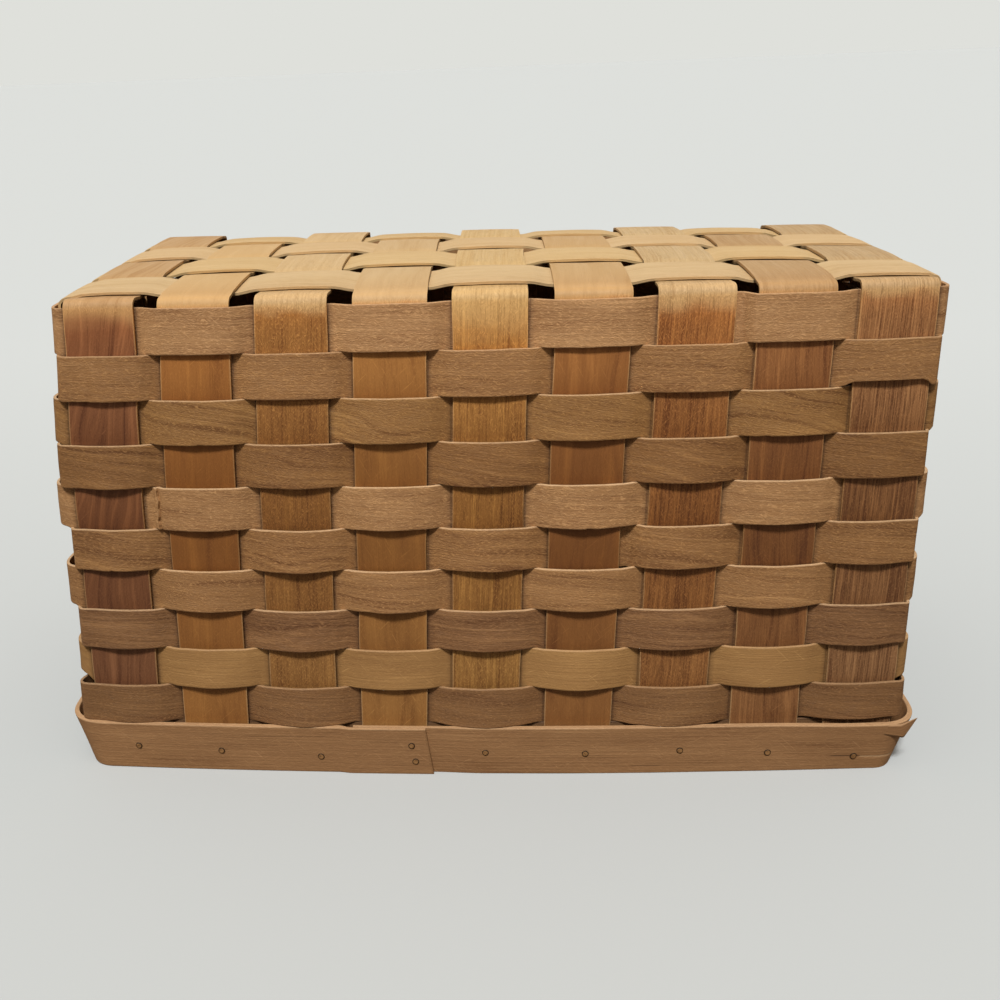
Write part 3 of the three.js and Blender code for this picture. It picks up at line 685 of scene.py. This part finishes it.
# Shift and out of the one end that shows, beside the first upright
SHOWN_END = [(12.25, -1.2), (15.5, -0.5), (17.3, 0.95)]


def upright_at(turn):
    """Side, number and way of the upright that a hoop meets at a turn, counted round from the
    front wall's left end: nine in front, four at the right, nine behind, four at the left."""
    turn = np.asarray(turn) % CROSSINGS
    side = np.searchsorted([9, 13, 22], turn, side="right")
    number = np.choose(side, [turn + 1, turn - 8, 22 - turn, 26 - turn])
    return side, number, np.where(side < BACK, 1, -1)


def is_long(side):
    return (side == FRONT) | (side == BACK)


def station_point(turn, shift, z, out):
    """A point of a hoop `shift` past the middle of an upright and `out` outside it."""
    side, number, way = upright_at(turn)
    middle = np.where(is_long(side), column_x(number, z), side_y(number, z))
    return side, middle + way * shift, wall_point(side, middle + way * shift, z, out)


def hoop_middle(stations, lines, low, high, step, swell=(0, 0), sag=0, crowd=0, wobble=None):
    """A hoop's middle surface through stations (turn, shift, out at the lower edge, out at the
    upper edge), how far round each of its points and each station lies. Along a wall the place
    runs straight between stations and `out` is a smooth line through them. Between walls the
    hoop rounds the corner on a quadratic curve, whose middle point goes further out by `swell`
    at the left and the right end. It is level, or wanders by a tenth of a millimetre with the
    seed `wobble`. Where it lies inside the uprights its lower edge reaches down by `sag`, behind
    the hoop below. With a `crowd` of 1 the points are closest together by the stations."""
    turn, shift, out_low, out_high = (np.array(part) for part in zip(*stations))
    side, _, place = station_point(turn, shift, (low + high) / 2, (out_low + out_high) / 2)
    gap = np.linalg.norm(np.diff(place, axis=0), axis=1)
    corner = side[1:] != side[:-1]
    knots = np.concatenate([[0], np.cumsum(gap)])
    steps = np.maximum(1, np.ceil(gap / np.where(corner, step * 0.5, step))).astype(int)
    part = np.repeat(np.arange(len(gap)), steps)
    share = np.concatenate([np.arange(k) / k for k in steps])
    part, share = np.append(part, len(gap) - 1), np.append(share, 1.0)
    share += np.where(corner[part], 0, crowd) * (ease(share) - share)
    flat = np.flatnonzero(corner)
    flat = np.unique(np.concatenate([flat, flat + 1]))
    run = knots[part] + gap[part] * share
    rise = lines / (high - low) + 0.5
    drift = 0 if wobble is None else 0.1 * wander(run[:, None], 40, wobble)
    z = low + (high - low) * rise + drift

    def out_at(at, level):
        below = smooth_through(at, knots, out_low, flat)
        above = smooth_through(at, knots, out_high, flat)
        return below[:, None] + (above - below)[:, None] * level

    z = z - sag * (1 - rise) * np.clip(-out_at(run, 0.5 * np.ones_like(rise)) - 0.15, 0, 1)

    def station_at(which):
        return station_point(turn[which][:, None], shift[which][:, None], z,
                             out_at(knots[which], rise))[1:]

    (first, start), (last, stop) = station_at(part), station_at(part + 1)
    along = first + (last - first) * share[:, None]
    wall = wall_point(side[part][:, None], along, z, out_at(run, rise))
    turned = (start + stop) / 2
    long_first = is_long(side[part])[:, None]
    turned[..., 0] = np.where(long_first, stop[..., 0], start[..., 0])
    turned[..., 1] = np.where(long_first, start[..., 1], stop[..., 1])
    at_left = ((side[part] == LEFT) | (side[part + 1] == LEFT))[:, None]
    turned[..., 0] += np.where(at_left, -swell[0], swell[1])
    bend = bent(share[:, None, None], start, turned, stop)
    return np.where(corner[part][:, None, None], bend, wall), run, knots


def weaver_stations(row):
    """Where the weaver passes each upright. It springs out less in the first three rows, which
    were pulled tight. Beside a corner it may loop out, most in the middle rows. Its first end
    lies innermost, and the second laps over it behind the same upright."""
    first = ((row - LAP_ROW) * LAP_STEP) % CROSSINGS
    loose = np.random.default_rng(1000 + row)

    def loop(turn, neighbour):
        side, beside = upright_at(turn)[0], upright_at(neighbour)[0]
        if side == beside or is_long(side):
            return 0
        most = LEFT_CORNER_LOOP if side == LEFT else RIGHT_CORNER_LOOP
        return most * math.sin(math.pi * (row - 0.5) / ROWS) ** 2

    stations = [(first, LAP_HIDDEN - HALF_SPLINT, -LAP_OFFSET, -LAP_OFFSET),
                (first, REACH + 1.5, -LAP_OFFSET, -LAP_OFFSET)]
    for turn in range(first + 1, first + CROSSINGS):
        outside = (turn + row) % 2 == 0
        out = WEAVE_OFFSET if outside else -WEAVE_OFFSET
        spring = loose.uniform(0.75, 1.2) * min(1, 0.05 + 0.22 * row)
        above, below = (BULGE_ABOVE, BULGE_BELOW) if outside else (BULGE_INSIDE, BULGE_INSIDE)
        before = out + (loop(turn, turn - 1) if outside else 0)
        after = out + (loop(turn, turn + 1) if outside else 0)
        stations += [(turn, -REACH, before, before),
                     (turn, 0, out + below * spring, out + above * spring),
                     (turn, REACH, after, after)]
    hidden_end = [(HALF_SPLINT - LAP_HIDDEN, -WEAVE_OFFSET)]
    last = [(-REACH, -WEAVE_OFFSET), *(SHOWN_END if row == LAP_ROW else hidden_end)]
    return stations + [(first, shift, out, out) for shift, out in last]


# Colour of each weaver, the slant of its rings, how much rings, streaks and fuzz show, and how
# pale its upper edge is: paler cut wood with a painted highlight where the light catches it
WEAVER_WOODS = [
    (0xB48658, 0.02, 0.3, 0.15, 0.64, 0.3), (0x9E7144, 0.03, 0.3, 0.15, 0.7, 0.5),
    (0x976C3D, 0.18, 0.62, 0.15, 0.62, 0.8), (0x8A6036, 0.14, 0.58, 0.15, 0.62, 0.75),
    (0xA67A4E, 0.06, 0.4, 0.15, 0.7, 1.0), (0x94693E, 0.10, 0.6, 0.15, 0.68, 0.85),
    (0x9A6F44, 0.08, 0.5, 0.15, 0.65, 0.9), (0x825B38, 0.05, 0.6, 0.3, 0.6, 0.75),
    (0x9F7646, 0.02, 0.12, 0.1, 0.2, 0.4), (0x815B37, 0.06, 0.4, 0.3, 0.6, 0.35),
]
NICKED_ROW, RUCKED_ROW = 2, 9

weaver_lines = lines_across(WEAVER_WIDTH, 9)
for row, (colour, slant, rings, streaks, fuzz, edge) in enumerate(WEAVER_WOODS, 1):
    stations, top = weaver_stations(row), ROWS_TOP - (row - 1) * ROW_PITCH - ROW_GAP / 2
    middle, run, knots = hoop_middle(stations, weaver_lines, top - WEAVER_WIDTH, top, STRIP_STEP,
                                     (LEFT_SWELL[row - 1], RIGHT_SWELL[row - 1]),
                                     WEAVER_SAG if row < ROWS else 0, 1, 1100 + row)
    x, y, z = np.moveaxis(middle, -1, 0)
    in_front, low_edge = y < 0, 0.5 - weaver_lines / WEAVER_WIDTH
    if row == ROWS:  # its lower edge stands clear of the band by the right corner
        z += 1.2 * (ease((x - 104) / 10) * in_front) * low_edge
    if row == NICKED_ROW:  # a piece is torn out of its lower edge
        torn_off = ease((x - 113) / 4) * ease((141 - x) / 3) * in_front
        z += 1.9 * torn_off * np.maximum(0, -weaver_lines / WEAVER_WIDTH * 2) ** 2
    if row == RUCKED_ROW:  # its lower edge is rucked up beside the two front corners
        x_share = length_share(x, z)
        rucked = 3.2 * ease((-x_share - 0.96) / 0.03) + 1.5 * ease((x_share - 0.97) / 0.02)
        z += rucked * in_front * low_edge**2
    along = length_along(middle)[:, None]
    uneven = 0.07 * rippled(along, weaver_lines, 11, 6, 1200 + row)
    by_edge = ease((np.abs(weaver_lines) - 5) / 2.35)
    ragged = 0.08 * by_edge * edge_wander(along, weaver_lines, 6, 1300 + row)
    nicks = np.maximum(0, wander(along, 5, 1420 + row) - 0.8) * ease((-weaver_lines - 6) / 1.4)
    from_end = np.minimum(along, along[-1] - along)
    torn = rippled(0 * along, weaver_lines, 1, 1.1, 1500 + row) * ease(1 - from_end / 4)
    # Painted shade: a dark band along the weaver's lower edge, which faces away from the light
    painted_low_edge_shade = 0.25 * np.interp(weaver_lines + WEAVER_WIDTH / 2, [0, 0.3, 0.5], [1, 0.9, 0])
    # Painted shadow: a thin dark line where the weaver dives behind an upright's edge
    dives = [place for place, (_, shift, out, _) in zip(knots, stations)
             if out < 0 and abs(shift) == REACH]
    painted_contact_shadow = np.exp(-((np.abs(run[:, None] - dives).min(axis=1) / 0.6) ** 2))[:, None]
    # Painted shade: `shade` darkens the weaver towards both ends of the basket, where less light
    # falls
    piece = split_strip(f"weaver_{row}_wood", middle, weaver_lines,
                        WEAVER_THICKNESS / 2 * fullness(weaver_lines, WEAVER_WIDTH), uneven,
                        ragged + 1.8 * nicks, 0.7 * torn,
                        marks={"stain_and_shade": np.maximum(painted_low_edge_shade, 0.62 * painted_contact_shadow),
                               "shade": 1 - 0.13 * length_share(x, z) ** 2},
                        # The pale upper edge is partly a painted highlight; the lower edge, facing
                        # away from the light, is not pale
                        edges=(0.0, 0.85 * edge))
    material = wood_material(f"weaver_wood_{row}", colour, 90 + 4.3 * row, slant, rings,
                             streaks, fuzz, fibre=1.3)
    finished(piece, material, f"weaver_{row}")


# Outer rim band: a thicker strip of split wood, 19.2 mm high, nailed round the outside of the
# lip. It leans outwards at its top edge. Its ends are shaved thin and lap on the front wall, the
# left one outside, with a slanting cut.
BAND_THICKNESS, BAND_OFFSET, LAP_THICKNESS = 1.8, 1.6, 1.1
LEAN_SIDE, LEAN_END, LEAN_SPRUNG = 0.9, 4.5, 2.2
BAND_LAP_TURN, LAP_BEFORE, LAP_PAST, BAND_LAP_STEP = 3, 3.0, 1.0, 0.6


def band_lean(turn):
    """How much further out the band's top edge stands than its lower one: most at the ends, and
    more by the front wall's last upright, where the band has sprung off the last weaver."""
    if not is_long(upright_at(turn)[0]):
        return LEAN_END
    return LEAN_SPRUNG if turn % CROSSINGS == COLUMNS - 1 else LEAN_SIDE


def once_round(start, long_inset, end_inset, in_corners):
    """Turn and shift of a band's places once round the basket after `start`: each long wall's
    uprights, those next to a corner only if `in_corners`, and a place by each corner."""
    for turn in range(start + 1, start + CROSSINGS):
        side = upright_at(turn)[0]
        opening, closing = (upright_at(turn + way)[0] != side for way in (-1, 1))
        reach = REACH - (long_inset if is_long(side) else end_inset)
        if opening:
            yield turn, -reach
        if is_long(side) and (in_corners or not opening and not closing):
            yield turn, 0
        if closing:
            yield turn, reach


def outer_band_stations():
    """The band's way round the rim, with the half of its thickness at each station."""
    full, thin = BAND_THICKNESS / 2, LAP_THICKNESS / 2
    under, over = BAND_OFFSET - (full - thin), BAND_OFFSET + BAND_LAP_STEP + (full - thin)
    start, before, past = BAND_LAP_TURN, -HALF_SPLINT - LAP_BEFORE, HALF_SPLINT + LAP_PAST
    places = [*once_round(start, 6, 1, True), (start + CROSSINGS - 1, REACH)]
    rows = [(start, before, under, thin), (start, past + 0.5, under, thin),
            *((*place, BAND_OFFSET, full) for place in places),
            (start, before - 0.5, over, thin), (start, past, over, thin)]
    return ([(turn, shift, out, out + band_lean(turn)) for turn, shift, out, _ in rows],
            [half for *_, half in rows])


# Cracks in the outer band beside a nail: column, height and way it rises, how far it reaches to
# the left and to the right of the column's middle, and how dark and how pale it is
BAND_CRACKS = [(9, 5.9, -0.02, -9, 2.5, 0.95, 0), (9, 5.7, -0.02, 1, 14, 0.25, 0.9),
               (2, 8.65, 0.04, 2.5, 4.6, 0.95, 0), (7, 3.1, 0.0, -14, -2, 0.5, 0),
               (3, 15.2, 0.01, -22, 8, 0.35, 0)]
CRACK_STEPS, CRACK_WIDTH = np.array([-0.35, -0.18, 0, 0.18, 0.35]), 0.2
crack_lines = np.concatenate([height + CRACK_STEPS for _, height, *_ in BAND_CRACKS])
band_lines = lines_across(RIM_HEIGHT, 17, crack_lines)

stations, halves = outer_band_stations()
middle, run, knots = hoop_middle(stations, band_lines, 0, RIM_HEIGHT, 1.2)
half = smooth_through(run, knots, halves)[:, None]
along = length_along(middle)[:, None]
slanting = 3.0 * (band_lines / RIM_HEIGHT) * ease(1 - (along[-1] - along) / 20)
dark = pale = 0
for column, height, rise, left, right, darkness, paleness in BAND_CRACKS:
    beside = middle[..., 0] - column_x(column, height)
    off_line = band_lines + RIM_HEIGHT / 2 - height - rise * beside
    ends = ease((beside - left) / 1.5) * ease((right - beside) / 1.5)
    crack = np.clip(1.3 - np.abs(off_line) / CRACK_WIDTH, 0, 1) * ends * (middle[..., 1] < -40)
    dark, pale = np.maximum(dark, darkness * crack), np.maximum(pale, paleness * crack)
by_edges = 0.3 * np.interp(RIM_HEIGHT / 2 - band_lines, [0, 0.3, 0.5, 0.9], [1, 0.9, 0.25, 0])
piece = split_strip("outer_rim_band_wood", middle, band_lines,
                    half * fullness(band_lines, RIM_HEIGHT) - 0.1 * np.maximum(dark, pale),
                    0.12 * rippled(along, band_lines, 25, 9, 1601), slide=-slanting,
                    marks={"stain_and_shade": dark, "cut": np.maximum(pale, by_edges)})
band_wood = wood_material("outer_band_wood", 0x956D47, 7.7, 0.01, 0.12, 0.15, 0.25, spacing=1.2)
finished(piece, band_wood, "outer_rim_band")

# A splinter of the band's outer face that stood off straight where the band turns the corner:
# how far along it each place is, then its left and right edge, and its lower and upper one
SPLINTER = [(0, 136.5, 136.5, 15.5, 18.9), (0.6, 146, 144.3, 13.2, 18.9),
            (1, 149.4, 149.5, 21.5, 21.7)]
splinter_lines, reach = np.linspace(0, 1, 7), np.linspace(0, 1, 25)[:, None]
shares, *edges = zip(*SPLINTER)
x_low, x_high, z_low, z_high = (np.interp(reach, shares, edge) for edge in edges)
x = x_low + (x_high - x_low) * splinter_lines
z = z_low + (z_high - z_low) * splinter_lines
face = BAND_OFFSET + BAND_THICKNESS / 2 + band_lean(COLUMNS - 1) * z / RIM_HEIGHT
piece = split_strip("outer_rim_band_splinter_wood", wall_point(FRONT, x, z, face - 0.2),
                    6.5 * splinter_lines, 0.3 - 0.22 * reach, edges=(0.2, 0.3))
piece.data.materials.append(band_wood)
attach(piece, "root")


# Inner rim band: the same thicker strip of split wood, inside the lip. The nails hold it to the
# uprights and the outer band. Its ends butt inside the back wall.
BUTT_SHIFT, BUTT_GAP, BUTT_TURN = 6.0, 1.0, COLUMNS + LENGTHWISE + (COLUMNS - 1) // 2

places = [(BUTT_TURN, BUTT_SHIFT + BUTT_GAP),
          *once_round(BUTT_TURN, CROSSING_MARGIN, CROSSING_MARGIN, False),
          (BUTT_TURN, BUTT_SHIFT)]
stations = [(*place, -BAND_OFFSET, -BAND_OFFSET) for place in places]
middle, *_ = hoop_middle(stations, band_lines, 0, RIM_HEIGHT, 1.6)
along = length_along(middle)[:, None]
# Painted shade along the top edge, down in the gap behind the outer band, which is not pale either
painted_gap_shade = 0.7 * np.interp(RIM_HEIGHT / 2 - band_lines, [0, 1, 4], [1, 0.8, 0])
piece = split_strip("inner_rim_band_wood", middle, band_lines,
                    BAND_THICKNESS / 2 * fullness(band_lines, RIM_HEIGHT),
                    0.08 * rippled(along, band_lines, 25, 9, 1701), marks={"stain_and_shade": painted_gap_shade},
                    edges=(0.3, 0))
finished(piece, wood_material("inner_band_wood", 0x9A724B, 17.7, 0.01, 0.35, 0.45, 0.2),
         "inner_rim_band")


# Nails: small steel nails with round, slightly domed heads, browned with age. One goes through
# band, splint and band at each upright, and the lap has a second one. They were hammered flush.
NAIL_SHANK, NAIL_HEAD, NAIL_HEAD_HEIGHT, NAIL_SEAT = 0.6, 1.2, 0.3, 0.05
NAIL_SEGMENTS = 20
# How far right of its upright's middle each front nail is, and how high
FRONT_NAILS = [(3.5, 9.8), (1.9, 8.6), (6, 6.9), (6.3, 12.3), (0.1, 9.1), (2.9, 8.6), (3.5, 9.5),
               (1.8, 8), (-0.6, 5.9)]
LAP_NAIL, NAIL_HEIGHT = (7.7, 5.6), 8.5


def nail_skin(name, turn, shift, height, lapped, seed):
    """A nail turned about an axis that stands square on the band: rings of a profile of radius
    and height, the head's rings a little out of round from the hammer, closed at both ends by
    tapering to nearly nothing."""
    lean = band_lean(turn)
    face = BAND_OFFSET + BAND_THICKNESS / 2 + (BAND_LAP_STEP if lapped else 0)

    def on_band(move, z):
        return station_point(turn, shift + move, z, face + lean * z / RIM_HEIGHT)[2]

    low, high = on_band(0, 0.0), on_band(0, RIM_HEIGHT)
    beside = on_band(1, 0.0) - low
    beside /= np.linalg.norm(beside)
    normal = np.cross(beside, high - low)
    normal /= np.linalg.norm(normal)
    head = low + (high - low) * height / RIM_HEIGHT
    tip = -(face + lean * height / RIM_HEIGHT + BAND_OFFSET + BAND_THICKNESS / 2)
    profile = np.array([
        (0.02, tip), (0.35, tip + 0.02), (NAIL_SHANK, tip + 0.6),
        (NAIL_SHANK, NAIL_SEAT - 0.06), (NAIL_HEAD - 0.1, NAIL_SEAT - 0.03),
        (NAIL_HEAD, NAIL_SEAT + 0.06), (NAIL_HEAD, NAIL_SEAT + 0.16),
        (NAIL_HEAD - 0.12, NAIL_SEAT + 0.28), (NAIL_HEAD - 0.45, NAIL_SEAT + 0.36),
        (0.4, NAIL_SEAT + NAIL_HEAD_HEIGHT), (0.02, NAIL_SEAT + NAIL_HEAD_HEIGHT),
    ])
    angle = np.arange(NAIL_SEGMENTS) / NAIL_SEGMENTS * 2 * np.pi
    radius, rise = profile[:, :1], profile[:, 1:]
    dented = radius * (1 + 0.05 * wander(angle * 3, 1.7, seed) * (rise > 0))
    points = (head + (dented * np.cos(angle))[..., None] * beside
              + (dented * np.sin(angle))[..., None] * np.cross(normal, beside)
              + (rise + 0 * angle)[..., None] * normal)
    faces, *_ = skin_faces(len(profile), NAIL_SEGMENTS)
    faces = np.roll(faces[:, ::-1], 1, axis=1)
    rim = ease((radius - 0.95) / 0.15) * (rise > -0.1) * np.ones(NAIL_SEGMENTS)
    return wooden_piece(name, points.reshape(-1, 3), faces, np.zeros((len(faces), 4, 2)),
                        {"rim": rim}, np.ones(len(faces), bool))


def nail_material():
    """Browned steel: dull, with a dark line round the edge of the head and rusty spots."""
    made, tree, shader = new_material("nail_steel")
    place = add(tree, "TexCoord", {})["Object"]
    spots = add(tree, "TexNoise", {"Vector": place, "Scale": 900.0, "Detail": 3.0})[0]
    rust = picked(tree, spots, 0.45, 0.62)
    colour = mixed(tree, rust, linear(0x9A7248), linear(0x7A5632))
    feed(tree, shader, {
        "Base Color": mixed(tree, attribute(tree, "rim"), colour, linear(0x180E07)),
        "Roughness": add(tree, "MapRange", {0: rust, 3: 0.55, 4: 0.8})[0],
        "Metallic": 0.1, "Specular IOR Level": 0.2,
        "Normal": add(tree, "Bump", {"Height": spots, "Distance": 0.0001})[0]})
    return made


steel = nail_material()
SIDE_NAMES = ["front", "right", "back", "left"]
nails = []
for turn in range(CROSSINGS):
    side, number, _ = upright_at(turn)
    shift, height = FRONT_NAILS[turn] if turn < COLUMNS else (0, NAIL_HEIGHT)
    nails.append((f"nail_{SIDE_NAMES[side]}_{number}", turn, shift, height, turn == BAND_LAP_TURN))
nails.append(("nail_lap", BAND_LAP_TURN, *LAP_NAIL, True))
for number, (name, *place) in enumerate(nails):
    finished(nail_skin(f"{name}_steel", *place, 1800 + number), steel, name)


# Table and light: a wide pale table under a white sky that is brightest overhead, and one broad
# soft lamp from the upper left in front. The sky looks as pale as the table to the camera.
TABLE_HALF, TABLE_GLOW = 20.0, 0x6C6256
TABLE_NEAR, TABLE_FAR = 0xB7BBBB, 0xC0C4C4
SKY_COLOUR, SKY_TINT, SKY_HIGH = 0xDFE0DB, 0xFFF6EA, 1.1
LAMP_STRENGTH, LAMP_SPREAD, LAMP_ELEVATION, LAMP_TURN = 3.1, 10, 58, -10

mesh = bpy.data.meshes.new("table")
corners = [(x * TABLE_HALF, y * TABLE_HALF, 0) for x, y in ((-1, -1), (1, -1), (1, 1), (-1, 1))]
mesh.from_pydata(corners, [], [(0, 1, 2, 3)])
table = placed("table", mesh)
table_top, tree, shader = new_material("table_top")
place = add(tree, "TexCoord", {})["Object"]
behind = add(tree, "SeparateXYZ", {0: place})[1]
from_basket = add(tree, "VectorMath", {0: place}, operation="LENGTH")["Value"]
far_off = calc(tree, "MAXIMUM", picked(tree, behind, -0.1, 0.6),
               picked(tree, from_basket, 0.6, 2.5))
seen_colour = mixed(tree, far_off, linear(TABLE_NEAR), linear(TABLE_FAR))
to_camera = add(tree, "LightPath", {})["Is Camera Ray"]
feed(tree, shader, {"Base Color": mixed(tree, to_camera, linear(TABLE_GLOW), seen_colour),
                    "Roughness": 0.8, "Specular IOR Level": 0.2})
mesh.materials.append(table_top)

world = bpy.data.worlds.new("sky")
world.use_nodes = True
bpy.context.scene.world = world
sky = world.node_tree
path = add(sky, "LightPath", {})
seen = calc(sky, "MAXIMUM", path["Is Camera Ray"], path["Is Glossy Ray"])
way_up = add(sky, "SeparateXYZ", {0: add(sky, "TexCoord", {})["Generated"]})[2]
height = calc(sky, "MAXIMUM", way_up, 0.0)
sky_light = calc(sky, "MULTIPLY", calc(sky, "MULTIPLY", height, height), SKY_HIGH)
feed(sky, sky.nodes["Background"], {
    "Color": mixed(sky, seen, linear(SKY_TINT), linear(SKY_COLOUR)),
    "Strength": add(sky, "MapRange", {0: seen, 3: sky_light, 4: 1.0})[0]})

lamp = bpy.data.lights.new("lamp", "SUN")
lamp.energy, lamp.angle = LAMP_STRENGTH, math.radians(LAMP_SPREAD)
placed("lamp", lamp).rotation_euler = (math.radians(90 - LAMP_ELEVATION), 0,
                                       math.radians(LAMP_TURN))
bpy.context.scene.view_settings.view_transform = "Standard"
